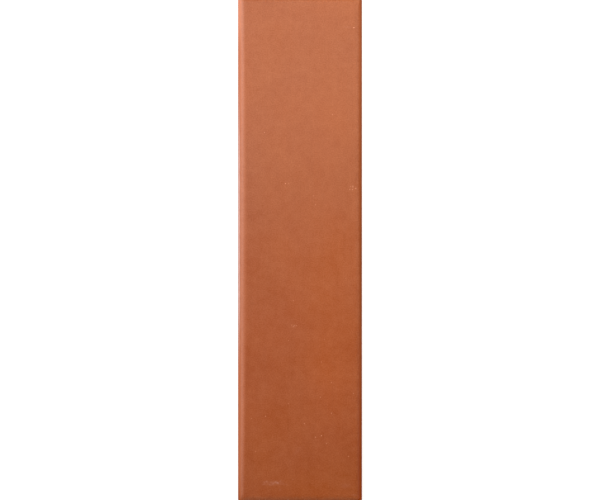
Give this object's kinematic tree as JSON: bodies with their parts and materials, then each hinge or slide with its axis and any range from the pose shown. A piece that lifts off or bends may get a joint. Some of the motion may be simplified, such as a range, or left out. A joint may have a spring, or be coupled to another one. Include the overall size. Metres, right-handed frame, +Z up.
{
  "type": "brick-look wall tile",
  "caption": "Long slim fired-clay facing tile in the shape of a brick's face, with a smooth terracotta face, soft cushioned edges, leaning flanks and a keyed back for adhesive.",
  "frame": {"origin": "middle of the tile's back, which lies on the floor", "axes": "+Z up, out of the face; +Y along the tile's length; +X across its width"},
  "size_m": [0.074, 0.3, 0.009],
  "materials": {
    "fired_clay": "satin"
  },
  "bodies": {
    "root": {"tile": "fired_clay"}
  },
  "joints": []
}
